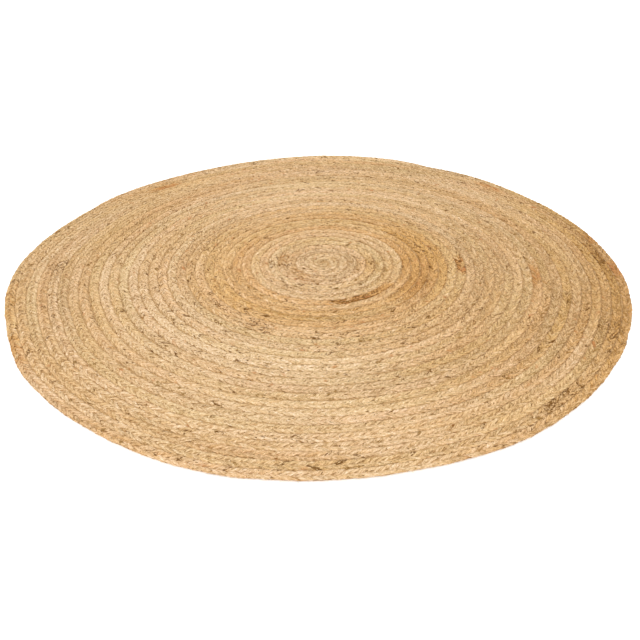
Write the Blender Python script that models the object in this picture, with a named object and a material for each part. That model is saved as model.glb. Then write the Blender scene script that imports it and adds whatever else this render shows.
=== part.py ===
"""Round jute rug.

One long jute braid, coiled flat from the middle outwards and sewn edge to edge.
The solid is the whole coil: a flat underside, one raised ridge for each turn of
the braid, a rounded rim, and a tail that tapers off against the turn before it.
Metres, +Z up, underside on z = 0.
"""
import bmesh
import bpy
from math import cos, radians, sin, tau

# Driving dimensions
RUG_RADIUS = 0.750           # mean reach of the rim from the middle of the coil
COIL_TURNS = 33              # turns of braid from the middle to the tail
BRAID_THICKNESS = 0.008      # the braid's back above the floor
SEAM_HEIGHT = 0.0045         # the sewn groove between turns, and the rim's widest line
RIM_UNDERCUT = 0.0025        # the underside stops this far inside the rim's widest line
TAIL_BEARING = 62.0          # where the braid's tail ends, degrees from +X towards +Y
TAIL_TAPER = 10.0            # degrees over which the tail narrows to nothing

# The coil isn't a true round: how far the turns reach at each bearing, as a
# share of an even spiral's reach.  Smoothly joined from row to row.
REACH_TABLE = (
    # bearing, reach
    (0.0, 0.9890),
    (18.0, 0.9875),
    (36.0, 0.9860),
    (50.0, 0.9995),
    (68.0, 0.9965),
    (88.0, 1.0055),
    (108.0, 0.9945),
    (124.0, 0.9920),
    (144.0, 1.0125),
    (155.0, 1.0090),
    (180.0, 1.0310),
    (192.0, 1.0215),
    (203.0, 1.0095),
    (216.0, 1.0125),
    (234.0, 1.0055),
    (252.0, 1.0110),
    (280.0, 0.9950),
    (298.0, 0.9970),
    (318.0, 0.9870),
    (334.0, 0.9865),
    (351.0, 0.9915),
)
UNEVEN_GROWTH = 2.0          # the unevenness grows with this power of the radius

# Mesh steps
STEPS_PER_TURN = 72
SMALLEST_REACH = 0.25        # points nearer the middle than this share of a braid merge there

# Worked out from the above
BRAID_WIDTH = RUG_RADIUS / COIL_TURNS
HALF_TURN = STEPS_PER_TURN // 2
LAST_STEP = COIL_TURNS * STEPS_PER_TURN - HALF_TURN
TAIL_STEPS = round(TAIL_TAPER / 360.0 * STEPS_PER_TURN)


def reach_at(bearing):
    """Share of an even spiral's reach at a bearing in degrees: a smooth curve through the table."""
    rows = len(REACH_TABLE)
    bearing = bearing % 360.0
    row = max(i for i in range(rows) if REACH_TABLE[i][0] <= bearing)

    def at(i):
        whole_turns, i = divmod(i, rows)
        return REACH_TABLE[i][0] + 360.0 * whole_turns, REACH_TABLE[i][1]

    (b0, r0), (b1, r1), (b2, r2), (b3, r3) = (at(row + k) for k in (-1, 0, 1, 2))
    along = (bearing - b1) / (b2 - b1)
    slope_1 = (r2 - r0) / (b2 - b0) * (b2 - b1)
    slope_2 = (r3 - r1) / (b3 - b1) * (b2 - b1)
    a2, a3 = along ** 2, along ** 3
    return ((2 * a3 - 3 * a2 + 1) * r1 + (a3 - 2 * a2 + along) * slope_1
            + (3 * a2 - 2 * a3) * r2 + (a3 - a2) * slope_2)


def place(step, radius):
    """X and Y of a point at an even spiral's radius, on the ray of a step of the braid."""
    bearing = TAIL_BEARING + 360.0 * (LAST_STEP - step) / STEPS_PER_TURN
    unevenness = (reach_at(bearing) - 1.0) * (radius / RUG_RADIUS) ** UNEVEN_GROWTH
    radius *= 1.0 + unevenness
    return radius * cos(radians(bearing)), radius * sin(radians(bearing))


def width_left(step):
    """Share of the braid's full width at a step: 1 along the coil, down to 0 at the tail."""
    into_tail = (step - LAST_STEP + TAIL_STEPS) / TAIL_STEPS
    return 1.0 - max(0.0, into_tail) ** 1.5


class CoilMesh:
    """The coil's skin: lines of points along the seam, the braid's back and the underside's edge."""

    def __init__(self):
        self.mesh = bmesh.new()
        self.middle = self.mesh.verts.new((0.0, 0.0, BRAID_THICKNESS))
        self.seams = {}
        self.backs = {}
        self.feet = {}

    def point(self, line, step, radius, height):
        """The point of a line at a step, made on first use; near the middle all share one point."""
        if radius < SMALLEST_REACH * BRAID_WIDTH:
            return self.middle
        if step not in line:
            line[step] = self.mesh.verts.new((*place(step, radius), height))
        return line[step]

    def seam(self, step):
        """Groove on the inner side of the braid; beyond the tail it is the rim's widest line."""
        if step == LAST_STEP + STEPS_PER_TURN:
            return self.seam(LAST_STEP)
        radius = BRAID_WIDTH * step / STEPS_PER_TURN
        if step > LAST_STEP:
            radius -= BRAID_WIDTH * (1.0 - width_left(step - STEPS_PER_TURN))
        return self.point(self.seams, step, radius, SEAM_HEIGHT)

    def back(self, step):
        """Top of the braid, midway over its width."""
        if step == LAST_STEP:
            return self.seam(LAST_STEP)
        width = width_left(step)
        radius = BRAID_WIDTH * (step / STEPS_PER_TURN + 0.5 * width)
        height = SEAM_HEIGHT + (BRAID_THICKNESS - SEAM_HEIGHT) * width
        return self.point(self.backs, step, radius, height)

    def foot(self, step):
        """Edge of the flat underside, under the rim of the last turn."""
        if step == LAST_STEP:
            return self.foot(LAST_STEP - STEPS_PER_TURN)
        radius = BRAID_WIDTH * (step / STEPS_PER_TURN + width_left(step)) - RIM_UNDERCUT
        return self.point(self.feet, step, radius, 0.0)

    def face(self, *points):
        """A face through the points in turn, without the ones that fall together."""
        apart = [p for i, p in enumerate(points) if p is not points[i - 1]]
        if len(set(apart)) > 2:
            self.mesh.faces.new(apart)

    def close_middle(self):
        """The first half turn's inner seam, closed to the coil's middle."""
        for step in range(HALF_TURN):
            self.face(self.middle, self.seam(step + 1), self.seam(step))

    def lay_turns(self):
        """Both slopes of the ridge, all along the braid."""
        for step in range(-HALF_TURN, LAST_STEP):
            outer = step + STEPS_PER_TURN
            self.face(self.seam(step), self.seam(step + 1), self.back(step + 1), self.back(step))
            self.face(self.back(step), self.back(step + 1), self.seam(outer + 1), self.seam(outer))

    def close_rim(self):
        """The last turn's rounded side, down to the edge of the flat underside."""
        last_turn = range(LAST_STEP - STEPS_PER_TURN, LAST_STEP)
        for step in last_turn:
            outer = step + STEPS_PER_TURN
            self.face(self.seam(outer), self.seam(outer + 1), self.foot(step + 1), self.foot(step))
        self.face(*(self.foot(step) for step in reversed(last_turn)))


def centre_on_origin(mesh):
    """Moves the coil so that the middle of its box is over the origin."""
    for axis in (0, 1):
        low = min(v.co[axis] for v in mesh.verts)
        high = max(v.co[axis] for v in mesh.verts)
        for vertex in mesh.verts:
            vertex.co[axis] -= 0.5 * (low + high)


def jute_material():
    """Undyed jute: dry, matt, sandy brown."""
    material = bpy.data.materials.new("natural_jute")
    material.use_nodes = True
    shader = material.node_tree.nodes["Principled BSDF"]
    shader.inputs["Base Color"].default_value = (0.52, 0.33, 0.16, 1.0)
    shader.inputs["Roughness"].default_value = 0.85
    shader.inputs["Metallic"].default_value = 0.0
    return material


def braided_coil():
    """The rug's one piece: the coiled braid as a single closed solid."""
    coil = CoilMesh()
    coil.close_middle()
    coil.lay_turns()
    coil.close_rim()
    centre_on_origin(coil.mesh)
    bmesh.ops.recalc_face_normals(coil.mesh, faces=coil.mesh.faces)
    skin = bpy.data.meshes.new("braided_coil")
    coil.mesh.to_mesh(skin)
    coil.mesh.free()
    skin.shade_smooth()
    skin.set_sharp_from_angle(angle=radians(50.0))
    skin.materials.append(jute_material())
    rug = bpy.data.objects.new("braided_coil", skin)
    bpy.context.scene.collection.objects.link(rug)


for leftover in list(bpy.data.objects):
    bpy.data.objects.remove(leftover, do_unlink=True)
braided_coil()
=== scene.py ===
"""Round jute rug: a seven-strand jute braid, coiled flat, with its yarn, thread and loose fibres."""
from math import radians

import bpy
import numpy as np
from mathutils import Euler, Matrix, Vector


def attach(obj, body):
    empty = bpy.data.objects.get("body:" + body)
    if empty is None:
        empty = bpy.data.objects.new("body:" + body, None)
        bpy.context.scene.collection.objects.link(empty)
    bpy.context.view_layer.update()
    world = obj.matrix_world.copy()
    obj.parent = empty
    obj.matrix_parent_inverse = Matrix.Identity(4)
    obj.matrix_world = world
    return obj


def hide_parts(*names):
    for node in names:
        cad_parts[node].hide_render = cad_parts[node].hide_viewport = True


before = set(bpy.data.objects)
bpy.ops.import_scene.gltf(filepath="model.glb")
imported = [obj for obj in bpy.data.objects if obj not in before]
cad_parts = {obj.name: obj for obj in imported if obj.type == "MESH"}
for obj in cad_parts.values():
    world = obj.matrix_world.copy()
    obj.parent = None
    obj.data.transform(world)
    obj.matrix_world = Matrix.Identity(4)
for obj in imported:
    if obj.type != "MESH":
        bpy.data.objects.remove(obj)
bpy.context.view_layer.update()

# ---------------------------------------------------------------------------
# The ground of the coil.  One long jute braid is wound flat from the middle, clockwise
# going outwards, each turn sewn to the last.  Sewing and wear felt the hidden sides of its
# strands into a thin web at the rug's mid-height, and pull the turns a little out of true.
# ---------------------------------------------------------------------------
RUG_RADIUS = 0.750
COIL_TURNS = 33
BRAID_WIDTH = RUG_RADIUS / COIL_TURNS
BRAID_THICKNESS = 0.008
TAIL_BEARING = 62.0          # where the braid ends at the rim, in degrees anticlockwise from +X
TAIL_TURN = COIL_TURNS - 0.5
TAIL_TAPER = 10.0 / 360.0    # turns over which the tail narrows
TAIL_CURVE = 1.5             # how late in the taper it does so: 1 is evenly
TAIL_WIDTH = 0.10            # share of the full width at the tail
FIRST_TURN = -0.40           # the braid's start, curled tight in the middle of the coil
START_TAPER = 0.80           # turns over which the start widens to the full braid
START_WIDTH = 0.35           # share of the full width at the start
RIM_STEPS = 73               # places round the rim that give the coil's middle
REACH_TABLE = (
    # bearing, reach
    (0.0, 0.9890),
    (18.0, 0.9875),
    (36.0, 0.9860),
    (50.0, 0.9995),
    (68.0, 0.9965),
    (88.0, 1.0055),
    (108.0, 0.9945),
    (124.0, 0.9920),
    (144.0, 1.0125),
    (155.0, 1.0090),
    (180.0, 1.0310),
    (192.0, 1.0215),
    (203.0, 1.0095),
    (216.0, 1.0125),
    (234.0, 1.0055),
    (252.0, 1.0110),
    (280.0, 0.9950),
    (298.0, 0.9970),
    (318.0, 0.9870),
    (334.0, 0.9865),
    (351.0, 0.9915),
)
GROUND_STEPS = 120           # places round each ring of the web
SEAM_TOP = 0.0058            # heights of the web under the seams
SEAM_BOTTOM = 0.0030
BACK_TOP = 0.0056            # and under the braid's back
BACK_BOTTOM = 0.0024
GROUND_RIM_INSET = 0.0045    # how far the web's last ring stays in from the rim
GROUND_EDGE_BULGE = 0.0010   # how far its rounded edge reaches past that ring
MIDDLE_RING_STEP = 0.0008    # least distance between its rings, where they crowd in the middle
FELT_NOISE = (450.0, 450.0, 3.0, 0.7)      # lumps per metre along and across, detail, roughness
# The felt's colours are darker than the yarn's: painted shade for the seams, where the web shows.
FELT_SHADE_COLOURS = (
    # value of the felt's noise, colour
    (0.32, (0.32, 0.18, 0.07, 1.0)),
    (0.66, (0.64, 0.41, 0.19, 1.0)),
)
FELT_ROUGHNESS = 0.95
FELT_GLOSS = 0.1
FELT_RELIEF = (0.8, 0.0008)  # strength, and depth in metres


def reach_at(bearings):
    """Share of an even spiral's reach at bearings in degrees: a smooth curve through the table."""
    table = np.array(REACH_TABLE)
    rows = len(table)
    bearings = np.mod(bearings, 360.0)
    row = np.searchsorted(table[:, 0], bearings, side="right") - 1
    bearing, reach = [], []
    for step in (-1, 0, 1, 2):
        bearing.append(table[(row + step) % rows, 0] + 360.0 * ((row + step) // rows))
        reach.append(table[(row + step) % rows, 1])
    span = bearing[2] - bearing[1]
    along = (bearings - bearing[1]) / span
    slope_1 = (reach[2] - reach[0]) / (bearing[2] - bearing[0]) * span
    slope_2 = (reach[3] - reach[1]) / (bearing[3] - bearing[1]) * span
    square, cube = along ** 2, along ** 3
    return ((2 * cube - 3 * square + 1) * reach[1] + (cube - 2 * square + along) * slope_1
            + (3 * square - 2 * cube) * reach[2] + (cube - square) * slope_2)


def bearing_of(turns):
    """Bearing in degrees, anticlockwise from +X, that the braid has after a number of turns."""
    return TAIL_BEARING + 360.0 * (TAIL_TURN - turns)


def into_tail(turns):
    """How far a turn is into the tail's taper, from 0 to 1."""
    return np.clip((turns - TAIL_TURN) / TAIL_TAPER + 1.0, 0.0, 1.0)


def width_share(turns):
    """The braid's width as a share of its full width: less at its start and its tail."""
    from_start = np.clip((turns - FIRST_TURN) / START_TAPER, 0.0, 1.0)
    return ((1.0 - (1.0 - TAIL_WIDTH) * into_tail(turns) ** TAIL_CURVE)
            * (START_WIDTH + (1.0 - START_WIDTH) * from_start))


def pulled(turns, radii):
    """X and Y on the floor of an even spiral's points once sewing has pulled them out of true."""
    bearings = bearing_of(turns)
    radii = radii * (1.0 + (reach_at(bearings) - 1.0) * (radii / RUG_RADIUS) ** 2)
    angles = np.radians(bearings)
    return np.stack([radii * np.cos(angles), radii * np.sin(angles)], axis=-1)


rim_turns = np.linspace(TAIL_TURN - 1.0, TAIL_TURN, RIM_STEPS)
rim = pulled(rim_turns, BRAID_WIDTH * (rim_turns + width_share(rim_turns)))
COIL_MIDDLE = -0.5 * (rim.min(axis=0) + rim.max(axis=0))


def floor_place(turns, radii):
    """X and Y of points of the coil in the rug's own frame, whose origin is under its box's middle."""
    return pulled(turns, radii) + COIL_MIDDLE


def mesh_piece(name, points, faces, material):
    """A smooth-shaded piece of the rug, made from points and faces, that goes where the rug goes."""
    mesh = bpy.data.meshes.new(name)
    mesh.from_pydata(points, [], faces)
    mesh.update()
    mesh.shade_smooth()
    mesh.materials.append(material)
    piece = bpy.data.objects.new(name, mesh)
    bpy.context.scene.collection.objects.link(piece)
    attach(piece, "root")
    return piece


def ground_rings():
    """Rings of the web's points, from the middle out over the top and back along the underside."""
    back_turns = np.linspace(0.0, 1.0, GROUND_STEPS, endpoint=False)
    last_turn = TAIL_TURN - back_turns
    rim_radius = BRAID_WIDTH * (last_turn + width_share(last_turn)) - GROUND_RIM_INSET
    over, under = [], []
    for half_turn in range(1, 2 * COIL_TURNS + 1):
        radius = BRAID_WIDTH * (0.5 * half_turn - back_turns)
        radius = np.clip(radius, MIDDLE_RING_STEP * (half_turn + 1), rim_radius)
        xy = floor_place(last_turn, radius)
        on_back = half_turn % 2 == 0
        top, bottom = (BACK_TOP, BACK_BOTTOM) if on_back else (SEAM_TOP, SEAM_BOTTOM)
        over.append(np.column_stack([xy, np.full(GROUND_STEPS, top)]))
        under.append(np.column_stack([xy, np.full(GROUND_STEPS, bottom)]))
    edge_xy = floor_place(last_turn, rim_radius + GROUND_EDGE_BULGE)
    edge = np.column_stack([edge_xy, np.full(GROUND_STEPS, 0.5 * BRAID_THICKNESS)])
    return over + [edge] + under[::-1]


def ground_skin():
    """Points and faces of the closed web."""
    rings = ground_rings()
    top_middle = np.array([[*COIL_MIDDLE, BACK_TOP]])
    bottom_middle = np.array([[*COIL_MIDDLE, BACK_BOTTOM]])
    step = np.arange(GROUND_STEPS)
    after = (step + 1) % GROUND_STEPS
    faces = [(0, 1 + a, 1 + b) for a, b in zip(step, after)]
    for ring in range(len(rings) - 1):
        start = 1 + ring * GROUND_STEPS
        faces += [(start + a, start + GROUND_STEPS + a, start + GROUND_STEPS + b, start + b)
                  for a, b in zip(step, after)]
    last = 1 + (len(rings) - 1) * GROUND_STEPS
    faces += [(last + a, last + GROUND_STEPS, last + b) for a, b in zip(step, after)]
    return np.concatenate([top_middle, *rings, bottom_middle]), faces


def matt_material(name, roughness, gloss):
    """A new material of an even roughness and gloss, and its shader."""
    material = bpy.data.materials.new(name)
    material.use_nodes = True
    shader = material.node_tree.nodes["Principled BSDF"]
    shader.inputs["Roughness"].default_value = roughness
    shader.inputs["Specular IOR Level"].default_value = gloss
    return material, shader


def fibre_noise(tree, place, along, across, detail, roughness):
    """A noise that is stretched along the fibres: lumps per metre along and across, then its grain."""
    stretched = tree.nodes.new("ShaderNodeVectorMath")
    stretched.operation = "MULTIPLY"
    stretched.inputs[1].default_value = (along, across, along)
    tree.links.new(place, stretched.inputs[0])
    noise = tree.nodes.new("ShaderNodeTexNoise")
    noise.inputs["Scale"].default_value = 1.0
    noise.inputs["Detail"].default_value = detail
    noise.inputs["Roughness"].default_value = roughness
    tree.links.new(stretched.outputs["Vector"], noise.inputs["Vector"])
    return noise.outputs["Fac"]


def colour_by(tree, value, stops):
    """A colour that runs from stop to stop, each a value and its colour, as the given value rises."""
    node = tree.nodes.new("ShaderNodeValToRGB")
    elements = node.color_ramp.elements
    for at_value, _ in stops[1:-1]:
        elements.new(at_value)
    for element, (at_value, colour) in zip(elements, stops):
        element.position = at_value
        element.color = colour
    tree.links.new(value, node.inputs["Fac"])
    return node.outputs["Color"]


def fine_relief(tree, shader, height, strength, depth):
    """Relief too fine for the mesh, from a height that changes over the surface."""
    bump = tree.nodes.new("ShaderNodeBump")
    bump.inputs["Strength"].default_value = strength
    bump.inputs["Distance"].default_value = depth
    tree.links.new(height, bump.inputs["Height"])
    tree.links.new(bump.outputs["Normal"], shader.inputs["Normal"])


def ground_material():
    """Felted raw jute, a little darker than the strands: painted shade for the seams, where the web
    shows between them.
    """
    material, shader = matt_material("felted_jute_in_painted_shade", FELT_ROUGHNESS, FELT_GLOSS)
    tree = material.node_tree
    place = tree.nodes.new("ShaderNodeTexCoord")
    felt = fibre_noise(tree, place.outputs["Object"], *FELT_NOISE)
    tree.links.new(colour_by(tree, felt, FELT_SHADE_COLOURS), shader.inputs["Base Color"])
    fine_relief(tree, shader, felt, *FELT_RELIEF)
    return material


ground_points, ground_faces = ground_skin()
coil_ground = mesh_piece("coil_ground", ground_points, ground_faces, ground_material())
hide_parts("braided_coil")

# ---------------------------------------------------------------------------
# The braid.  Seven flat, soft strands of hardly twisted jute yarn are plaited tight, so each
# shows as slanted stitches on either side of the middle line.  The yarn comes in lots, straw,
# tan or gold, some with flecks of bark.  It is built in lengths that follow one another.
# ---------------------------------------------------------------------------
STRANDS = 7
PLAIT_LENGTH = 0.0896        # braid length after which a strand is back on the same side
STRAND_SWING = 0.0083        # strand's middle, out from the braid's middle line
STRAND_LIFT = 0.0016         # strand's middle, up and down from mid-height
STRAND_WIDTH = 0.0076
STRAND_THICKNESS = 0.0036
BRAID_PARTS = 5
RULER_STEPS = 40000          # places along the coil at which the laid length of braid is known
TAIL_TRIM = 0.001            # metres that the braid stops short of the coil's end
RIM_SQUEEZE = 0.88           # share of full width in the last turn's outer half, which has no neighbour
END_THICKNESS = 0.4          # share of the full thickness that the braid would have at no width
TIGHT_TURNS = 9.0            # turns from the middle that are bent tight enough to press the braid wide
TIGHT_SPREAD = 0.07          # how much further its strands swing there, at most
TIGHT_WIDTH = 0.16           # and how much wider they are
BEND_LIFT = 0.0009           # rise of a strand's bend at the seam, where sewing pushes it up
INNER_BEND_LIFT = 0.0005     # the same in the inner turns
BEND_LIFT_TURNS = 16.0       # turns from the middle over which the bends come up to that rise
MIDDLE_LIFT = 0.0009         # rise of the middle line in the inner turns, whose braid is rounder
OUTER_TURNS = (25.5, 27.5)   # turns over which the braid changes from round to flat
STATION_DEGREES = (0.0, 22.5, 45.0, 67.5, 90.0, 135.0)     # places across each half of the plait
STRAND_SECTION = (
    # across, up, light that reaches it: shares of half the width and thickness, then 0 to 1
    (1.00, 0.00, 0.58),
    (0.72, 0.84, 0.92),
    (0.00, 1.00, 1.00),
    (-0.72, 0.84, 0.92),
    (-1.00, 0.00, 0.58),
    (0.00, -1.00, 0.00),
)

# Unevenness of the plait: how much, and the length of braid over which it changes
SWING_UNEVEN = (0.09, 0.024)         # shares of the sizes above
LIFT_UNEVEN = (0.18, 0.028)
WIDTH_UNEVEN = (0.14, 0.034)
THICKNESS_UNEVEN = (0.16, 0.031)
STRAND_SLIP = (0.0042, 0.030)        # metres along the braid, for one strand and for them all
BRAID_SLIP = (0.0035, 0.060)
BRAID_SWAY = (0.0012, 0.045)         # metres across it
STRAND_RISE = (0.0004, 0.019)        # metres up
SPARE_KNOTS = 4                      # random numbers that such a change has past the braid's ends

# Length of braid laid from its start up to each turn
ruler_turns = np.linspace(FIRST_TURN, TAIL_TURN, RULER_STEPS)
ruler_places = floor_place(ruler_turns, BRAID_WIDTH * (ruler_turns + 0.5))
ruler_steps = np.linalg.norm(np.diff(ruler_places, axis=0), axis=1)
ruler_lengths = np.concatenate([[0.0], np.cumsum(ruler_steps)])
BRAID_LENGTH = ruler_lengths[-1] - TAIL_TRIM


def turn_of(lengths):
    """The turn that is reached after a length of braid."""
    return np.interp(lengths, ruler_lengths, ruler_turns)


def braid_to_rug(points):
    """Points of the coil for points of the straight braid: metres along, across (outwards) and up."""
    lengths, across, heights = points.T
    turns = turn_of(lengths)
    on_rim = (turns > TAIL_TURN - 1.0) & (across > 0.0)
    across = np.where(on_rim, RIM_SQUEEZE * across, across)
    share = width_share(turns)
    middle = BRAID_WIDTH * (turns + 0.5 - 0.5 * (1.0 - share) * (into_tail(turns) > 0))
    xy = floor_place(turns, middle + across * share)
    thinned = END_THICKNESS + (1.0 - END_THICKNESS) * share
    heights = 0.5 * BRAID_THICKNESS + (heights - 0.5 * BRAID_THICKNESS) * thinned
    return np.column_stack([xy, np.maximum(heights, 0.0)])


def wander(seed, amount, spacing, lengths):
    """A smooth random number along the braid, up to amount either way, new at every spacing."""
    knots = np.random.default_rng(seed).uniform(-1.0, 1.0, int(BRAID_LENGTH / spacing) + SPARE_KNOTS)
    place = lengths / spacing + 1.0
    knot = np.floor(place).astype(int)
    part = place - knot
    part = part * part * (3.0 - 2.0 * part)
    return amount * (knots[knot] * (1.0 - part) + knots[knot + 1] * part)


def rarely(seed, spacing, threshold, lengths):
    """A smooth random number along the braid that is mostly 0 and seldom rises towards 1."""
    return np.clip((wander(seed, 1.0, spacing, lengths) - threshold) / (1.0 - threshold), 0.0, 1.0)


def flatness(turns):
    """From 0 in the inner turns, where the braid is round, to 1 in the outer ones, where it is flat."""
    return np.clip((turns - OUTER_TURNS[0]) / (OUTER_TURNS[1] - OUTER_TURNS[0]), 0.0, 1.0)


def strand_stations(strand, first, last):
    """The plait's angle and the braid length at each section of one strand, between two lengths."""
    shift = 360.0 * strand / STRANDS
    halves = np.arange(np.floor(2 * first / PLAIT_LENGTH) - 1, np.ceil(2 * last / PLAIT_LENGTH) + 3)
    degrees = (halves[:, None] * 180.0 + np.array(STATION_DEGREES)[None, :]).ravel()
    lengths = PLAIT_LENGTH * (degrees - shift) / 360.0
    inside = lengths[(lengths > first) & (lengths < last)]
    lengths = np.concatenate([[first], inside, [last]])
    return np.radians(lengths / PLAIT_LENGTH * 360.0 + shift), lengths


def strand_rings(strand, angles, lengths):
    """The strand's section at each station, in the straight braid's own place."""
    seed = 100 * (strand + 1)
    turns = turn_of(lengths)
    tight = np.clip(1.0 - turns / TIGHT_TURNS, 0.0, 1.0)
    swing = STRAND_SWING * (1.0 + wander(seed + 1, *SWING_UNEVEN, lengths))
    swing = swing * (1.0 + TIGHT_SPREAD * tight)
    lift = STRAND_LIFT * (1.0 + wander(seed + 2, *LIFT_UNEVEN, lengths))
    half_width = 0.5 * STRAND_WIDTH * (1.0 + wander(seed + 3, *WIDTH_UNEVEN, lengths))
    half_width = half_width * (1.0 + TIGHT_WIDTH * tight)
    half_thickness = 0.5 * STRAND_THICKNESS * (1.0 + wander(seed + 4, *THICKNESS_UNEVEN, lengths))
    slip = wander(seed + 5, *STRAND_SLIP, lengths) + wander(8, *BRAID_SLIP, lengths)
    sway = wander(7, *BRAID_SWAY, lengths)
    rise = wander(seed + 9, *STRAND_RISE, lengths)
    flat = flatness(turns)
    rising = np.clip(turns / BEND_LIFT_TURNS, 0.0, 1.0)
    bend = (INNER_BEND_LIFT + (BEND_LIFT - INNER_BEND_LIFT) * flat) * rising
    bend = bend * np.abs(np.cos(angles)) ** 3 + MIDDLE_LIFT * (1.0 - flat) * rising * np.sin(angles) ** 4
    middle = np.column_stack([lengths + slip, swing * np.cos(angles) + sway,
                              0.5 * BRAID_THICKNESS + lift * np.sin(2.0 * angles) + bend + rise])
    onward = np.column_stack([np.full(len(angles), PLAIT_LENGTH / (2.0 * np.pi)),
                              -swing * np.sin(angles), 2.0 * lift * np.cos(2.0 * angles)])
    onward /= np.linalg.norm(onward, axis=1)[:, None]
    sideways = np.column_stack([-onward[:, 1], onward[:, 0], np.zeros(len(angles))])
    sideways /= np.linalg.norm(sideways, axis=1)[:, None]
    upward = np.cross(onward, sideways)
    section = np.array(STRAND_SECTION)
    return (middle[:, None, :]
            + section[None, :, 0:1] * (half_width[:, None] * sideways)[:, None, :]
            + section[None, :, 1:2] * (half_thickness[:, None] * upward)[:, None, :])


def strand_faces(stations, sides):
    """Faces of one strand's closed skin, whose points run round each section in turn."""
    station = np.arange(stations - 1)[:, None] * sides
    side = np.arange(sides)[None, :]
    beside = (side + 1) % sides
    walls = np.stack([station + side, station + beside, station + sides + beside,
                      station + sides + side], axis=-1).reshape(-1, 4)
    start = tuple(range(sides - 1, -1, -1))
    finish = tuple(range((stations - 1) * sides, stations * sides))
    return walls.tolist() + [start, finish]


YARN_LOTS = (
    # turn, tone, gold, bark
    (0.0, -0.14, -0.05, 0.35),
    (2.0, 0.06, 0.05, 0.40),
    (4.0, 0.03, 0.10, 0.50),
    (6.0, 0.10, 0.13, 0.40),
    (7.5, 0.10, 0.25, 0.30),
    (8.5, 0.09, 0.55, 0.35),
    (12.0, 0.09, 0.52, 0.35),
    (13.5, 0.12, 0.38, 0.50),
    (15.5, 0.15, 0.17, 0.45),
    (19.0, 0.18, 0.10, 0.40),
    (22.0, 0.09, 0.15, 0.35),
    (25.0, 0.04, 0.25, 0.30),
    (28.0, 0.05, 0.24, 0.35),
    (31.0, 0.02, 0.30, 0.35),
    (31.9, 0.02, 0.36, 0.42),
    (33.0, 0.02, 0.40, 0.45),
)
PATCH_EDGE = 1.6             # how sharply a patch of other yarn ends
PATCH_UNEVEN = 1.3           # how unlike one another the strands are in a narrow patch
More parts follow.
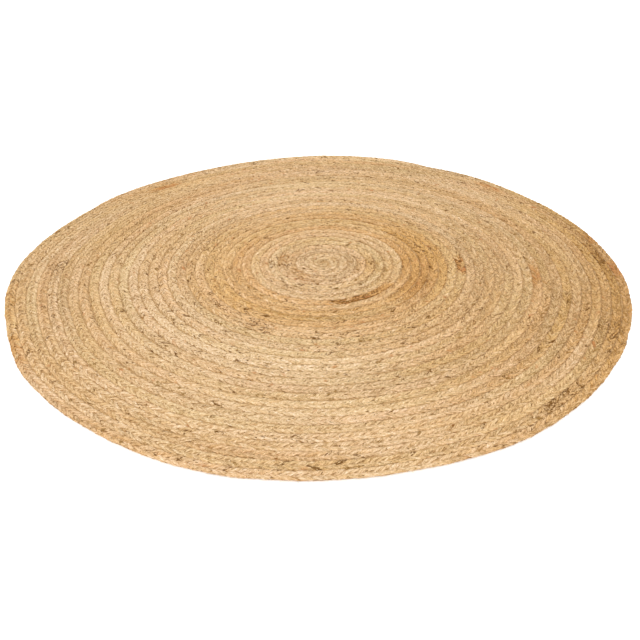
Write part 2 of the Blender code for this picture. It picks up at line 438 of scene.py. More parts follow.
YARN_PATCHES = (
    # bearing, radius, degrees each way, turns each way, tone, gold, bark, rust
    (5.0, 0.340, 50.0, 2.6, -0.02, 0.40, 0.21, 0.06),
    (35.0, 0.345, 24.0, 2.2, 0.04, 0.12, 0.10, 0.02),
    (-74.0, 0.254, 17.0, 0.5, -0.22, 0.95, 0.72, 0.32),
    (-50.0, 0.253, 20.0, 0.5, -0.10, 0.90, 0.50, 0.20),
    (-30.0, 0.330, 25.0, 1.6, -0.10, 0.25, 0.10, 0.05),
    (-4.0, 0.453, 10.0, 0.6, -0.10, 0.90, 0.30, 0.62),
    # Partly painted shade: this broad patch is darker partly for less light on the right-hand side, and
    # partly for a more golden yarn there.
    (-15.0, 0.600, 80.0, 16.0, -0.26, 0.20, 0.00, 0.00),
    (-8.0, 0.690, 11.0, 0.6, -0.20, 0.70, 0.10, 0.60),
    (15.0, 0.928, 9.0, 0.5, -0.06, 0.25, 0.40, 0.05),
    (0.0, 0.950, 10.0, 0.5, -0.06, 0.20, 0.40, 0.05),
    (-4.0, 0.980, 4.0, 0.6, 0.00, 0.30, 0.10, 0.50),
    (9.0, 0.978, 3.0, 0.6, 0.00, 0.20, 0.10, 0.25),
    (-27.0, 0.938, 9.0, 0.5, -0.08, 0.30, 0.50, 0.06),
    (-50.0, 0.946, 8.0, 0.5, 0.00, 0.15, 0.55, 0.05),
    (42.0, 0.932, 6.0, 0.8, -0.10, 0.70, 0.15, 0.75),
    (134.0, 0.935, 5.0, 0.9, 0.10, 0.40, 0.15, 0.40),
    (165.0, 0.725, 32.0, 3.2, -0.14, 0.14, 0.10, 0.00),
    (180.0, 0.860, 8.0, 2.0, -0.02, 0.05, 0.10, 0.05),
    (215.0, 0.390, 30.0, 1.6, 0.02, 0.12, 0.14, 0.05),
    (243.0, 0.420, 9.0, 1.6, 0.02, 0.08, 0.25, 0.05),
    (228.0, 0.125, 45.0, 1.6, 0.12, 0.18, 0.06, 0.14),
    (95.0, 0.360, 35.0, 1.8, 0.04, 0.03, 0.05, 0.00),
    (250.0, 0.550, 70.0, 3.8, 0.10, -0.10, 0.05, 0.00),
    (185.0, 0.640, 30.0, 1.4, 0.00, -0.04, -0.05, 0.00),
    (262.0, 0.860, 75.0, 9.0, 0.14, -0.05, -0.05, 0.00),
    (195.0, 0.960, 50.0, 1.8, 0.16, -0.08, 0.00, 0.00),
    (-8.0, 0.985, 56.0, 4.0, -0.48, 0.44, 0.00, 0.00),
    (62.0, 0.950, 24.0, 1.8, -0.22, 0.00, 0.00, 0.00),
    (75.0, 0.800, 60.0, 5.0, -0.08, -0.09, 0.12, 0.00),
    (148.0, 0.560, 60.0, 5.0, -0.14, 0.10, 0.05, 0.00),
    (65.0, 0.400, 45.0, 9.0, -0.10, 0.00, 0.00, 0.00),
    (215.0, 0.780, 40.0, 4.0, -0.06, 0.03, 0.00, 0.00),
    (135.0, 0.780, 40.0, 4.0, -0.08, 0.05, 0.04, 0.00),
    (-15.0, 0.800, 45.0, 4.0, -0.10, 0.05, 0.00, 0.00),
    (193.0, 0.990, 9.0, 0.6, 0.00, 0.28, 0.05, 0.10),
    (209.0, 0.989, 8.0, 0.6, 0.00, 0.30, 0.10, 0.12),
    (180.0, 0.878, 3.5, 0.8, -0.05, 0.10, 0.50, 0.00),
    (262.0, 0.350, 50.0, 2.8, -0.20, 0.05, 0.05, 0.00),
    (110.0, 0.270, 60.0, 1.2, -0.22, 0.00, 0.00, 0.00),
    (70.0, 0.150, 50.0, 1.0, 0.24, -0.08, 0.00, 0.00),
    (210.0, 0.085, 40.0, 0.8, 0.35, 0.00, -0.10, 0.00),
    (20.0, 0.090, 50.0, 1.0, -0.20, 0.12, 0.00, 0.00),
    (172.0, 0.150, 26.0, 0.8, -0.08, 0.42, 0.16, 0.14),
    (348.0, 0.160, 34.0, 3.0, -0.12, 0.22, 0.00, 0.00),
    (162.0, 0.450, 28.0, 1.5, 0.00, 0.18, 0.00, 0.00),
    (98.0, 0.660, 24.0, 2.5, 0.12, -0.20, 0.00, 0.00),
    (70.0, 0.985, 80.0, 1.6, 0.14, -0.20, 0.00, 0.00),
    (202.0, 0.325, 35.0, 2.0, -0.18, 0.03, 0.05, 0.00),
)
BARK_KNOT_LENGTH = 0.026     # each way along the braid
BARK_KNOT_TURNS = 0.6        # and each way across it
BARK_KNOT_STRANDS = 0.50     # share of the strands that carry the bark there
BARK_KNOT_BARK = 0.42        # and how much more of it they carry
BARK_KNOTS = (
    # bearing, radius: where a coarse yarn shows more bark
    (259.0, 0.872),
    (225.0, 0.644),
    (279.0, 0.264),
    (236.0, 0.336),
    (261.0, 0.935),
    (278.0, 0.740),
    (287.0, 0.568),
    (240.0, 0.636),
    (299.0, 0.632),
    (265.0, 0.864),
    (301.0, 0.388),
    (300.0, 0.836),
    (308.0, 0.801),
    (302.0, 0.899),
    (313.0, 0.803),
    (182.0, 0.883),
    (250.0, 0.780),
    (205.0, 0.680),
    (181.0, 0.876),
    (243.0, 0.556),
    (297.0, 0.264),
    (95.0, 0.920),
    (15.0, 0.935),
    (333.0, 0.930),
    (311.0, 0.958),
    (305.0, 0.940),
    (329.0, 0.865),
    (338.0, 0.840),
    (334.0, 0.912),
    (183.0, 0.176),
    (189.0, 0.147),
    (246.0, 0.118),
    (262.0, 0.147),
    (277.0, 0.170),
)

# Unevenness of the yarn: how much, and the length of braid over which it changes
STRAND_TONE = (0.12, 0.90)
STITCH_TONE = (0.16, 0.022)
BRAID_TONE = (0.18, 0.30)
SIDE_TONE = (0.20, 0.18)     # one side of the braid paler, the other darker
STRAND_GOLD = (0.15, 1.30)
STITCH_GOLD = (0.10, 0.030)
BRAID_GOLD = (0.20, 0.25)
STRAND_BARK = (0.15, 0.30)
STAIN_UNEVEN = (0.9, 0.020)
BRAID_BLUSH = (0.7, 0.25)    # pinker above 0, greener below
STRAND_BLUSH = (0.3, 0.09)

# Seldom things: the length of braid over which they come and go, and how rare they are, up to 1
BARK_RUN = (0.060, 0.75)
DARK_MARK = (0.010, 0.94)
RUST_SPOT = (0.018, 0.92)
STRAND_GAP = (0.008, 0.35)
GAP_RUN = (0.11, 0.45)

BARK_RUN_BARK = 0.7          # how much more bark such a run has
DARK_MARK_TONE = 2.2         # how much darker a mark is
DARK_MARK_BARK = 0.20        # and how much more bark it has
CLEAN_YARN_MARKS = 0.4       # how strong the marks are in yarn with no bark
BARK_YARN_MARKS = 1.5        # how much stronger with all its bark, and how strong at most
INNER_RINGS = 0.19           # painted light and shade: how much paler the outer side of the braid is, and darker its inner side, in the first turns
OPEN_SEAM_TURNS = 14.0       # turns over which that ends, and the seams held open by tight bends close
SEAM_TONE = 0.02             # painted shade: how much darker the yarn is painted by the seams in the inner, round turns
SHADED_SEAM_BEARING = 190.0   # the seams get more painted shade on this side, less opposite
SHADED_SEAM_TURN = 13.0       # turns from the middle where the more shaded side changes over
SHADED_SEAM_TURNS = 5.0       # turns from there out to where that side's painted shade is full, as 1
SHADED_SEAM_INNER = -0.7      # its least value further in, below 0 because the other side's seams get more painted shade there
SHADED_SEAM_START = 9.0       # turns from the middle over which the difference comes up
SHADED_SEAM_TONE = 0.20       # how much painted shade this adds to or takes from the yarn by the seams
SHADED_SEAM_DIM = 0.15        # and how much from the light lost there
SEAM_DIM = 0.24              # share of the light lost where a strand dips at the seams
OPEN_SEAM_DIM = 0.50         # more of it lost in the open seams of the first turns
MIDDLE_DIM = 0.02            # share of the light lost where a strand dips at the braid's middle line
OUTER_MIDDLE_DIM = 0.22      # the same in the outer turns, whose middle line is deeper
GAP_DIM = 0.58               # more of it lost in the gaps where strands part
LONE_GAP = 0.7               # how wide such a gap is by itself, and how much wider in a run of gaps
RUN_GAP = 2.5
INNER_GAP_CLOSED = 0.5       # share of the gaps closed at the middle line of the inner, round turns
RIM_LIGHT = 0.60             # share of its lost light that the rug's outer side gets back
STRAND_GIRTH = 2.3 * STRAND_WIDTH    # the way round a strand
FIBRE_TAKE_UP = 1.3          # length of slanting fibre in each metre of braid
FIBRE_TWIST = 0.25           # how far the fibres wind round the strand in each metre of braid
STRAND_APART = 0.17          # keeps the fibres of one strand unlike those of the next


def seam_shade_side(turns):
    """How much more painted shade the seams get: up to 1 on one side of the rug, down to -1 on the
    other.
    """
    side = np.clip((turns - SHADED_SEAM_TURN) / SHADED_SEAM_TURNS, SHADED_SEAM_INNER, 1.0)
    side = side * np.clip(turns / SHADED_SEAM_START, 0.0, 1.0)
    return side * np.cos(np.radians(bearing_of(turns) - SHADED_SEAM_BEARING))


def patch_strength(turns, bearing, radius, degrees, width):
    """How strongly a patch of other yarn shows at each turn: 1 in its middle, 0 from its edge on."""
    off_bearing = (np.mod(bearing_of(turns) - bearing + 180.0, 360.0) - 180.0) / degrees
    off_turns = (turns + 0.5 - radius * COIL_TURNS) / width
    return np.clip(PATCH_EDGE - PATCH_EDGE * np.hypot(off_bearing, off_turns), 0.0, 1.0)


def patched_yarn(strand, turns):
    """Tone, gold, bark and rust of one strand, from its lot of yarn, the patches and the knots."""
    lots = np.array(YARN_LOTS)
    tone, gold, bark = (np.interp(turns, lots[:, 0], lots[:, column]) for column in (1, 2, 3))
    rust = np.zeros(len(turns))
    uneven = np.random.default_rng(500 + strand)
    for bearing, radius, degrees, width, more_tone, more_gold, more_bark, more_rust in YARN_PATCHES:
        strength = patch_strength(turns, bearing, radius, degrees, width)
        strength = strength * (1.0 + uneven.uniform(-PATCH_UNEVEN, PATCH_UNEVEN) / (1.0 + width))
        tone = tone + strength * more_tone
        gold = gold + strength * more_gold
        bark = bark + strength * more_bark
        rust = rust + strength * more_rust
    for bearing, radius in BARK_KNOTS:
        degrees = np.degrees(BARK_KNOT_LENGTH / (radius * RUG_RADIUS))
        carried = BARK_KNOT_BARK if uneven.uniform() < BARK_KNOT_STRANDS else 0.0
        bark = bark + carried * patch_strength(turns, bearing, radius, degrees, BARK_KNOT_TURNS)
    return tone, gold, bark, rust


def yarn_of(strand, angles, lengths):
    """Tone, gold, bark, rust and blush of one strand's yarn along the braid, its tone with painted light
    and shade in places.
    """
    turns = turn_of(lengths)
    tone, gold, bark, rust = patched_yarn(strand, turns)
    seed = 1000 * (strand + 1)
    tone = tone + wander(seed + 1, *STRAND_TONE, lengths) + wander(seed + 2, *STITCH_TONE, lengths)
    tone = tone + wander(11, *BRAID_TONE, lengths) + np.cos(angles) * wander(12, *SIDE_TONE, lengths)
    gold = gold + wander(seed + 3, *STRAND_GOLD, lengths) + wander(seed + 4, *STITCH_GOLD, lengths)
    gold = gold + wander(13, *BRAID_GOLD, lengths)
    bark = bark + wander(seed + 5, *STRAND_BARK, lengths)
    bark = bark + BARK_RUN_BARK * rarely(seed + 6, *BARK_RUN, lengths)
    # Painted light and shade: the outer side of each braid paler, its inner side darker, in the first
    # turns.
    tone = tone + INNER_RINGS * np.cos(angles) * np.clip(1.0 - turns / OPEN_SEAM_TURNS, 0.0, 1.0) ** 0.5
    mark = rarely(seed + 10, *DARK_MARK, lengths)
    mark = mark * np.clip(CLEAN_YARN_MARKS + BARK_YARN_MARKS * bark, 0.0, BARK_YARN_MARKS)
    tone = tone - DARK_MARK_TONE * mark
    bark = bark + DARK_MARK_BARK * mark
    # Painted shade: darker yarn by the seams and paler at the braid's middle line, more so on one side
    # of the rug.
    seam_tone = SEAM_TONE + SHADED_SEAM_TONE * seam_shade_side(turns)
    tone = tone - seam_tone * (1.0 - flatness(turns)) * (np.cos(angles) ** 2 - 0.5)
    rust = rust * (1.0 + wander(seed + 9, *STAIN_UNEVEN, lengths))
    rust = rust + rarely(seed + 7, *RUST_SPOT, lengths)
    blush = wander(9, *BRAID_BLUSH, lengths) + wander(seed + 8, *STRAND_BLUSH, lengths)
    return tone, gold, bark, rust, blush


def light_on(strand, angles, lengths):
    """Light that reaches each point of one strand's section at each station, from 0 to 1."""
    turns = turn_of(lengths)
    flat = flatness(turns)
    parted = rarely(100 * (strand + 1) + 10, *STRAND_GAP, lengths)
    parted = parted * (LONE_GAP + RUN_GAP * rarely(14, *GAP_RUN, lengths))
    parted = parted * (1.0 - INNER_GAP_CLOSED * (1.0 - flat) * np.sin(angles) ** 2)
    at_seam = np.cos(angles) ** 2 * np.clip(1.0 - turns / OPEN_SEAM_TURNS, 0.0, 1.0)
    dip = 1.0 - np.clip(np.sin(2.0 * angles), 0.0, 1.0)
    middle_dim = MIDDLE_DIM + (OUTER_MIDDLE_DIM - MIDDLE_DIM) * flat
    seam_dim = SEAM_DIM + SHADED_SEAM_DIM * seam_shade_side(turns) * (1.0 - flat)
    line_dim = seam_dim * np.cos(angles) ** 2 + middle_dim * np.sin(angles) ** 2
    crest = 1.0 - np.clip(dip * (line_dim + GAP_DIM * parted + OPEN_SEAM_DIM * at_seam), 0.0, 1.0)
    outside = np.where(turns > TAIL_TURN - 1.0, np.clip(np.cos(angles), 0.0, 1.0), 0.0)
    light = np.array(STRAND_SECTION)[None, :, 2]
    light = light + RIM_LIGHT * outside[:, None] * (1.0 - light)
    return crest[:, None] * light


def strand_yarn(strand, angles, lengths, sides):
    """The yarn at each point of one strand: its colour and light, its fibres' place, its stains."""
    tone, gold, bark, rust, blush = yarn_of(strand, angles, lengths)
    colour = np.repeat(np.column_stack([0.5 + 0.5 * tone, gold, bark]), sides, axis=0)
    colour = np.column_stack([colour, light_on(strand, angles, lengths).ravel()])
    around = np.tile(np.linspace(0.0, STRAND_GIRTH, sides, endpoint=False), len(lengths))
    along = np.repeat(lengths, sides)
    place = np.column_stack([FIBRE_TAKE_UP * along, around + FIBRE_TWIST * along,
                             np.full(len(along), STRAND_APART * (strand + 1))])
    stain = np.column_stack([rust, np.maximum(blush, 0.0), np.maximum(-blush, 0.0)])
    return colour, place, np.repeat(stain, sides, axis=0)


def braid_piece(name, first, last, material):
    """One length of the braid: its strands in one piece, with the yarn's colours on its points."""
    points, faces, colours, places, stains = [], [], [], [], []
    used = 0
    for strand in range(STRANDS):
        angles, lengths = strand_stations(strand, first, last)
        rings = strand_rings(strand, angles, lengths)
        stations, sides = rings.shape[:2]
        points.append(braid_to_rug(rings.reshape(-1, 3)))
        faces += [tuple(used + corner for corner in face) for face in strand_faces(stations, sides)]
        used += stations * sides
        colour, place, stain = strand_yarn(strand, angles, lengths, sides)
        colours.append(colour)
        places.append(place)
        stains.append(stain)
    piece = mesh_piece(name, np.concatenate(points), faces, material)
    # The yarn layer's fourth value is painted light: the light that reaches each point.
    for layer, kind, field, values in (("yarn", "FLOAT_COLOR", "color", colours),
                                       ("yarn_place", "FLOAT_VECTOR", "vector", places),
                                       ("stain", "FLOAT_VECTOR", "vector", stains)):
        attribute = piece.data.attributes.new(layer, kind, "POINT")
        attribute.data.foreach_set(field, np.concatenate(values).astype(np.float32).ravel())
    return piece


# The fibres' noises: lumps per metre along and across the fibres, detail, roughness
STREAK_NOISE = (90.0, 1100.0, 4.0, 0.72)
BAND_NOISE = (90.0, 290.0, 1.0, 0.5)
NAP_NOISE = (230.0, 520.0, 2.5, 0.75)
BARK_NOISE = (125.0, 235.0, 2.0, 0.6)

FLECK_FRAY = 0.45            # how much the streaks fray a fleck of bark
FLECK_LEAST = 0.985          # height of the frayed noise that shows as a fleck in yarn with no bark
FLECK_MOST = 0.69            # and in yarn with all its bark
FLECK_EDGE = 20.0            # how sharply a fleck ends
FLECK_CROSSED = (3.2, -0.65)     # pale fibres that cross a fleck: the streak's share, and its shift
YARN_ROUGHNESS = 0.75
YARN_GLOSS = 0.12
YARN_SHEEN = 0.05
YARN_SHEEN_ROUGHNESS = 0.5
YARN_RELIEF = (0.6, 0.0005)  # strength, and depth in metres
BAND_RELIEF = 1.5            # the bands' share of it, next to the streaks
STREAK_SHADE = 1.1           # how much each of the noises changes the yarn's tone
BAND_SHADE = 0.9
NAP_SHADE = 2.3
SHADE_SHIFT = 2.205          # takes the noises' own middle values out of the tone again
STRAW_COLOURS = (
    # tone, colour
    (0.00, (0.31, 0.180, 0.058, 1.0)),
    (0.50, (0.71, 0.497, 0.280, 1.0)),
    (0.82, (0.793, 0.576, 0.353, 1.0)),
    (1.00, (0.95, 0.770, 0.560, 1.0)),
)
GOLD_TINT = (0.96, 0.79, 0.50, 1.0)
PINK_TINT = (1.0, 0.95, 0.95, 1.0)
GREEN_TINT = (0.985, 1.0, 0.91, 1.0)
RUST_COLOUR = (0.50, 0.215, 0.07, 1.0)
BARK_COLOUR = (0.150, 0.060, 0.005, 1.0)
# colour that the painted shade darkens the yarn towards
DIM_TINT = (0.44, 0.29, 0.115, 1.0)
DIM_PATCHY = (-4.4, 3.0)     # the dimness comes and goes with the bands: their share, and its shift


def feed(tree, socket, value):
    """Give a socket its value, from another socket or as a plain number or colour."""
    if isinstance(value, bpy.types.NodeSocket):
        tree.links.new(value, socket)
    else:
        socket.default_value = value


def combined(tree, operation, first, second, third=0.0, clamp=False):
    """What a Math node makes of two or three numbers, each a socket or a plain number."""
    node = tree.nodes.new("ShaderNodeMath")
    node.operation = operation
    node.use_clamp = clamp
    for socket, value in zip(node.inputs, (first, second, third)):
        feed(tree, socket, value)
    return node.outputs["Value"]


def mixed(tree, blend, factor, first, second):
    """A mix of two colours, each a socket or a plain colour."""
    node = tree.nodes.new("ShaderNodeMix")
    node.data_type = "RGBA"
    node.blend_type = blend
    colours = [socket for socket in node.inputs if socket.type == "RGBA"]
    for socket, value in zip((node.inputs["Factor"], *colours), (factor, first, second)):
        feed(tree, socket, value)
    return next(socket for socket in node.outputs if socket.type == "RGBA")


def jute_group():
    """Raw jute: fine streaks and a nap along the fibres, broader bands of yarn, and flecks of bark."""
    group = bpy.data.node_groups.new("jute_fibre", "ShaderNodeTree")
    group.interface.new_socket("Yarn Place", in_out="INPUT", socket_type="NodeSocketVector")
    group.interface.new_socket("Bark", in_out="INPUT", socket_type="NodeSocketFloat")
    for name in ("Streak", "Band", "Nap", "Fleck"):
        group.interface.new_socket(name, in_out="OUTPUT", socket_type="NodeSocketFloat")
    given = group.nodes.new("NodeGroupInput")
    out = group.nodes.new("NodeGroupOutput")
    place = given.outputs["Yarn Place"]
    streak = fibre_noise(group, place, *STREAK_NOISE)
    frayed = combined(group, "MULTIPLY_ADD", streak, FLECK_FRAY, fibre_noise(group, place, *BARK_NOISE))
    least = group.nodes.new("ShaderNodeMapRange")
    least.inputs["To Min"].default_value = FLECK_LEAST
    least.inputs["To Max"].default_value = FLECK_MOST
    group.links.new(given.outputs["Bark"], least.inputs["Value"])
    above = combined(group, "SUBTRACT", frayed, least.outputs["Result"])
    sharp = combined(group, "MULTIPLY", above, FLECK_EDGE, clamp=True)
    crossed = combined(group, "MULTIPLY_ADD", streak, *FLECK_CROSSED, clamp=True)
    group.links.new(streak, out.inputs["Streak"])
    group.links.new(fibre_noise(group, place, *BAND_NOISE), out.inputs["Band"])
    group.links.new(fibre_noise(group, place, *NAP_NOISE), out.inputs["Nap"])
    group.links.new(combined(group, "MULTIPLY", sharp, crossed), out.inputs["Fleck"])
    return group


jute_fibre = jute_group()


def point_values(tree, layer):
    """The node that reads one layer of values from the mesh's points."""
    node = tree.nodes.new("ShaderNodeAttribute")
    node.attribute_name = layer
    return node


def strand_material():
    """Soft raw jute yarn: straw to tan, gold or rusty in places, flecked, and dim between strands."""
    material, shader = matt_material("plaited_jute", YARN_ROUGHNESS, YARN_GLOSS)
    shader.inputs["Sheen Weight"].default_value = YARN_SHEEN
    shader.inputs["Sheen Roughness"].default_value = YARN_SHEEN_ROUGHNESS
    tree = material.node_tree
    yarn = point_values(tree, "yarn")
    parts = tree.nodes.new("ShaderNodeSeparateColor")
    tree.links.new(yarn.outputs["Color"], parts.inputs["Color"])
    stains = tree.nodes.new("ShaderNodeSeparateXYZ")
    tree.links.new(point_values(tree, "stain").outputs["Vector"], stains.inputs["Vector"])
    fibre = tree.nodes.new("ShaderNodeGroup")
    fibre.node_tree = jute_fibre
    tree.links.new(point_values(tree, "yarn_place").outputs["Vector"], fibre.inputs["Yarn Place"])
    tree.links.new(parts.outputs["Blue"], fibre.inputs["Bark"])
    streak, band, nap = (fibre.outputs[name] for name in ("Streak", "Band", "Nap"))
    tone = combined(tree, "MULTIPLY_ADD", streak, STREAK_SHADE, parts.outputs["Red"])
    tone = combined(tree, "MULTIPLY_ADD", band, BAND_SHADE, tone)
    tone = combined(tree, "MULTIPLY_ADD", nap, NAP_SHADE, tone)
    tone = combined(tree, "SUBTRACT", tone, SHADE_SHIFT)
    colour = colour_by(tree, tone, STRAW_COLOURS)
    colour = mixed(tree, "MULTIPLY", parts.outputs["Green"], colour, GOLD_TINT)
    colour = mixed(tree, "MULTIPLY", stains.outputs["Y"], colour, PINK_TINT)
    colour = mixed(tree, "MULTIPLY", stains.outputs["Z"], colour, GREEN_TINT)
    colour = mixed(tree, "MIX", stains.outputs["X"], colour, RUST_COLOUR)
    colour = mixed(tree, "MIX", fibre.outputs["Fleck"], colour, BARK_COLOUR)
    # Painted shade: the colour is darkened towards DIM_TINT where the yarn layer says little light
    # reaches.
    dim = combined(tree, "SUBTRACT", 1.0, yarn.outputs["Alpha"])
    patchy = combined(tree, "MULTIPLY_ADD", band, *DIM_PATCHY)
    dim = combined(tree, "MULTIPLY", dim, combined(tree, "MAXIMUM", patchy, 0.0))
    colour = mixed(tree, "MULTIPLY", dim, colour, DIM_TINT)
    tree.links.new(colour, shader.inputs["Base Color"])
    fine_relief(tree, shader, combined(tree, "MULTIPLY_ADD", band, BAND_RELIEF, streak), *YARN_RELIEF)
    return material


plaited_jute = strand_material()
part_ends = np.linspace(0.0, BRAID_LENGTH, BRAID_PARTS + 1)
braid_parts = [braid_piece(f"braid_part_{part + 1}", part_ends[part], part_ends[part + 1], plaited_jute)
               for part in range(BRAID_PARTS)]

# ---------------------------------------------------------------------------
# The sewing thread.  A thin jute thread laces each turn to the one before it, in
# short slanting stitches that sink into the seam and pull the braid together.
# ---------------------------------------------------------------------------
THREAD_THICKNESS = 0.0010
STITCH_SPACING = 0.042
STITCH_SHIFT = (0.25 * STITCH_SPACING, 0.050)    # unevenness along the braid, and over what length
STITCH_HALF_WIDTH = 0.0042   # reach into the braid on either side of the seam
STITCH_HALF_SLANT = 0.0030
STITCH_LOW = 0.0052
STITCH_RISE = 0.0020
STITCH_RISE_UNEVEN = (0.0003, 0.060)
STITCH_PATH = (-1.0, -0.4, 0.4, 1.0)
FIRST_SEWN_TURN = 0.7
TUBE_CORNERS = (90.0, 210.0, 330.0)
THREAD_DARK = (0.46, 0.29, 0.14, 1.0)
THREAD_PALE = (0.70, 0.50, 0.29, 1.0)
FINE_JUTE_BANDS = (0.35, 0.65)       # values of the bands' noise that show all dark and all pale
FINE_JUTE_ROUGHNESS = 0.7
FINE_JUTE_GLOSS = 0.2


def thin_tubes(paths, thickness):
    """Points and faces of closed three-sided tubes, one along each short path."""
    onward = np.gradient(paths, axis=1)
    onward /= np.linalg.norm(onward, axis=2)[:, :, None]
    sideways = np.cross(onward, (0.0, 0.0, 1.0))
    sideways /= np.linalg.norm(sideways, axis=2)[:, :, None]
    upward = np.cross(sideways, onward)
    corners = np.radians(TUBE_CORNERS)[:, None]
    around = np.cos(corners) * sideways[:, :, None, :] + np.sin(corners) * upward[:, :, None, :]
    rings = paths[:, :, None, :] + 0.5 * thickness[None, :, None, None] * around
    count, steps, sides = rings.shape[:3]
    ring = np.arange(count)[:, None, None] * steps * sides + np.arange(steps - 1)[None, :, None] * sides
    side = np.arange(sides)[None, None, :]
    here = ring + side
    beside = ring + (side + 1) % sides
    walls = np.stack([here, here + sides, beside + sides, beside], axis=-1).reshape(-1, 4)
    end = np.arange(count)[:, None] * steps * sides
    starts = end + np.array([0, 1, 2])
    finishes = end + (steps - 1) * sides + np.array([2, 1, 0])
    return rings.reshape(-1, 3), walls.tolist() + starts.tolist() + finishes.tolist()


def fibre_material(name, dark, pale):
    """Fine jute: a colour between dark and pale that changes along each fibre."""
    material, shader = matt_material(name, FINE_JUTE_ROUGHNESS, FINE_JUTE_GLOSS)
    tree = material.node_tree
    place = tree.nodes.new("ShaderNodeTexCoord")
    fibre = tree.nodes.new("ShaderNodeGroup")
    fibre.node_tree = jute_fibre
    tree.links.new(place.outputs["Object"], fibre.inputs["Yarn Place"])
    colour = colour_by(tree, fibre.outputs["Band"], tuple(zip(FINE_JUTE_BANDS, (dark, pale))))
    tree.links.new(colour, shader.inputs["Base Color"])
    return material


def stitch_paths():
    """Paths of the stitches over the seams, in the rug's own frame."""
    lengths = np.arange(0.0, BRAID_LENGTH, STITCH_SPACING)
    lengths = lengths + wander(31, *STITCH_SHIFT, lengths)
    turns = turn_of(lengths)
    lengths = lengths[(turns > FIRST_SEWN_TURN) & (turns < TAIL_TURN - 1.0)]
    path = np.array(STITCH_PATH)
    along = lengths[:, None] + STITCH_HALF_SLANT * path[None, :]
    across = np.broadcast_to(0.5 * BRAID_WIDTH + STITCH_HALF_WIDTH * path, along.shape)
    heights = STITCH_LOW + STITCH_RISE * (1.0 - path ** 2)
    heights = heights[None, :] + wander(32, *STITCH_RISE_UNEVEN, lengths)[:, None]
    places = np.stack([along, across, heights], axis=-1)
    return braid_to_rug(places.reshape(-1, 3)).reshape(places.shape)


thread_points, thread_faces = thin_tubes(stitch_paths(), np.full(len(STITCH_PATH), THREAD_THICKNESS))
sewing_thread = mesh_piece("sewing_thread", thread_points, thread_faces,
                           fibre_material("jute_thread", THREAD_DARK, THREAD_PALE))

# ---------------------------------------------------------------------------
# Loose fibres.  Fine ends of jute work out of the yarn in use: they lie over the
# braid in every direction and stand out a little from the rug's edge.
# ---------------------------------------------------------------------------
FACE_FIBRES = 1300
RIM_FIBRES = 260
FIBRE_THICKNESS = 0.00035
FIBRE_PATH = (0.0, 0.35, 0.70, 1.0)
FIBRE_TAPER = (1.0, 1.0, 0.8, 0.4)   # share of the thickness at those places along it
FACE_FIBRE_LENGTH = (0.008, 0.022)   # least and most, as in each pair below
RIM_FIBRE_LENGTH = (0.005, 0.010)
FACE_FIBRES_FROM = 0.1               # braid length where they start, clear of the coil's first curl
RIM_FIBRES_TO = 0.995                # share of the braid's length where those on the rim stop
RIM_FIBRE_INSET = 0.0030
RIM_FIBRE_HEADING = (-1.0, 1.0)      # radians off the way straight out
FIBRE_CURL = (-0.9, 0.9)             # radians that a fibre turns through
FIBRE_START_HEIGHT = 0.0040
FACE_FIBRE_LOW = 0.0067
FACE_FIBRE_RISE = (0.0008, 0.0018)
RIM_FIBRE_HEIGHT = (0.0025, 0.0060)
RIM_FIBRE_DROOP = (0.2, 0.9)         # share of that height lost at the fibre's end
FIBRE_DARK = (0.60, 0.42, 0.22, 1.0)
FIBRE_PALE = (0.86, 0.68, 0.46, 1.0)


def fibre_paths():
    """Paths of the loose fibres, over the face and out from the rim, in the rug's own frame."""
    chance = np.random.default_rng(41)
    path = np.array(FIBRE_PATH)
    count = FACE_FIBRES + RIM_FIBRES
    on_rim = np.arange(count) >= FACE_FIBRES
    rim_start = ruler_lengths[np.searchsorted(ruler_turns, TAIL_TURN - 1.0)]
    lengths = np.where(on_rim, chance.uniform(rim_start, RIM_FIBRES_TO * BRAID_LENGTH, count),
                       chance.uniform(FACE_FIBRES_FROM, BRAID_LENGTH, count))
    across = np.where(on_rim, 0.5 * BRAID_WIDTH - RIM_FIBRE_INSET,
                      chance.uniform(-0.5, 0.5, count) * BRAID_WIDTH)
    reach = np.where(on_rim, chance.uniform(*RIM_FIBRE_LENGTH, count),
                     chance.uniform(*FACE_FIBRE_LENGTH, count))
    straight_out = np.radians(bearing_of(turn_of(lengths)))
    heading = np.where(on_rim, straight_out + chance.uniform(*RIM_FIBRE_HEADING, count),
                       chance.uniform(0.0, 2.0 * np.pi, count))
    curl = chance.uniform(*FIBRE_CURL, count)
    start = braid_to_rug(np.column_stack([lengths, across, np.full(count, FIBRE_START_HEIGHT)]))
    angle = heading[:, None] + curl[:, None] * path[None, :]
    x = start[:, 0:1] + reach[:, None] * path[None, :] * np.cos(angle)
    y = start[:, 1:2] + reach[:, None] * path[None, :] * np.sin(angle)
    rise = chance.uniform(*FACE_FIBRE_RISE, count)
    droop = chance.uniform(*RIM_FIBRE_DROOP, count)
    height = chance.uniform(*RIM_FIBRE_HEIGHT, count)
    on_face = FACE_FIBRE_LOW + rise[:, None] * np.sin(np.pi * path)[None, :]
    off_rim = height[:, None] * (1.0 - droop[:, None] * path[None, :] ** 2)
    return np.stack([x, y, np.where(on_rim[:, None], off_rim, on_face)], axis=-1)


fibre_points, fibre_faces = thin_tubes(fibre_paths(), FIBRE_THICKNESS * np.array(FIBRE_TAPER))
loose_fibres = mesh_piece("loose_fibres", fibre_points, fibre_faces,
                          fibre_material("loose_jute", FIBRE_DARK, FIBRE_PALE))

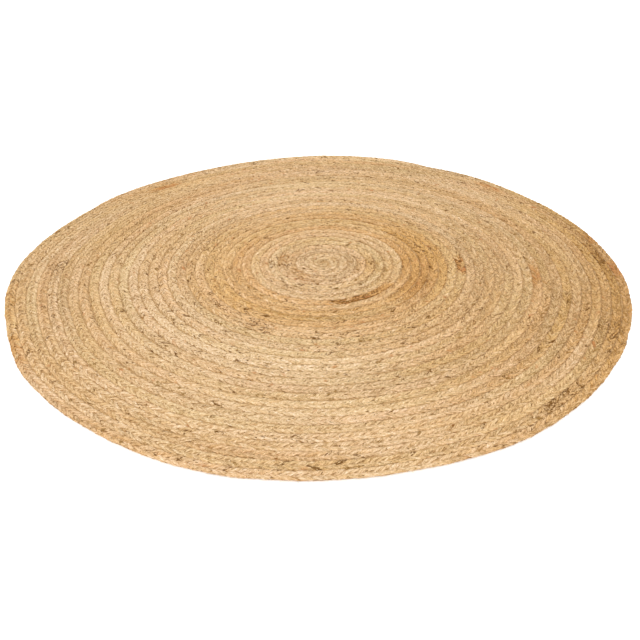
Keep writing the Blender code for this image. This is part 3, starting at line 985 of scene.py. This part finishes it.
# ---------------------------------------------------------------------------
# The studio: a plain pale floor, soft light and the camera at the photograph's
# angle, low over the front of the rug.
# ---------------------------------------------------------------------------
FLOOR_SIZE = 40.0
FLOOR_GAP = 0.0004           # keeps the floor clear of the rug's underside
FLOOR_COLOUR = (0.92, 0.92, 0.92, 1.0)
FLOOR_ROUGHNESS = 0.9
FLOOR_GLOSS = 0.1
FLOOR_GLOW = 0.35            # the floor's own light, which keeps it white at the rug's edge
WHITE = (1.0, 1.0, 1.0, 1.0)
AIR_LIGHT = 0.85
BACKDROP_LIGHT = 0.20        # how much brighter the air looks than it lights
KEY_LIGHT = 1.5
KEY_LIGHT_WIDTH = 50.0       # degrees
KEY_LIGHT_WAY = (0.15, 0.45, -1.0)   # down from the front left
CAMERA_BACK = 2.1284 * RUG_RADIUS
CAMERA_UP = 1.1772 * RUG_RADIUS
CAMERA_SIDE = -0.0221 * RUG_RADIUS
CAMERA_PITCH = 33.337        # degrees down, round its own line of sight, and to the side
CAMERA_ROLL = -0.658
CAMERA_TURN = 0.187
CAMERA_LENS = 40.21          # millimetres, for the sensor's width
CAMERA_SENSOR = 36.0


def floor_piece():
    """A matt white studio floor under the rug."""
    half = 0.5 * FLOOR_SIZE
    mesh = bpy.data.meshes.new("studio_floor")
    mesh.from_pydata([(-half, -half, 0.0), (half, -half, 0.0), (half, half, 0.0), (-half, half, 0.0)],
                     [], [(0, 1, 2, 3)])
    material, shader = matt_material("pale_floor", FLOOR_ROUGHNESS, FLOOR_GLOSS)
    shader.inputs["Base Color"].default_value = FLOOR_COLOUR
    shader.inputs["Emission Color"].default_value = WHITE
    shader.inputs["Emission Strength"].default_value = FLOOR_GLOW
    mesh.materials.append(material)
    floor = bpy.data.objects.new("studio_floor", mesh)
    floor.location.z = -FLOOR_GAP
    bpy.context.scene.collection.objects.link(floor)
    return floor


floor_piece()

studio_air = bpy.data.worlds.new("studio_air")
studio_air.use_nodes = True
air = studio_air.node_tree.nodes["Background"]
air.inputs["Color"].default_value = WHITE
light_path = studio_air.node_tree.nodes.new("ShaderNodeLightPath")
air_strength = combined(studio_air.node_tree, "MULTIPLY_ADD", light_path.outputs["Is Camera Ray"],
                        BACKDROP_LIGHT, AIR_LIGHT)
studio_air.node_tree.links.new(air_strength, air.inputs["Strength"])
bpy.context.scene.world = studio_air

key_data = bpy.data.lights.new("key_light", "SUN")
key_data.energy = KEY_LIGHT
key_data.angle = radians(KEY_LIGHT_WIDTH)
key_light = bpy.data.objects.new("key_light", key_data)
key_light.rotation_euler = Vector(KEY_LIGHT_WAY).to_track_quat("-Z", "Y").to_euler()
bpy.context.scene.collection.objects.link(key_light)

camera_data = bpy.data.cameras.new("camera")
camera_data.lens = CAMERA_LENS
camera_data.sensor_width = CAMERA_SENSOR
camera = bpy.data.objects.new("camera", camera_data)
camera.location = (COIL_MIDDLE[0] + CAMERA_SIDE, COIL_MIDDLE[1] - CAMERA_BACK, CAMERA_UP)
tilt = Euler((radians(90.0 - CAMERA_PITCH), 0.0, radians(-CAMERA_TURN))).to_matrix()
camera.rotation_euler = (tilt @ Matrix.Rotation(radians(CAMERA_ROLL), 3, "Z")).to_euler()
bpy.context.scene.collection.objects.link(camera)
bpy.context.scene.camera = camera
bpy.context.scene.view_settings.view_transform = "Standard"
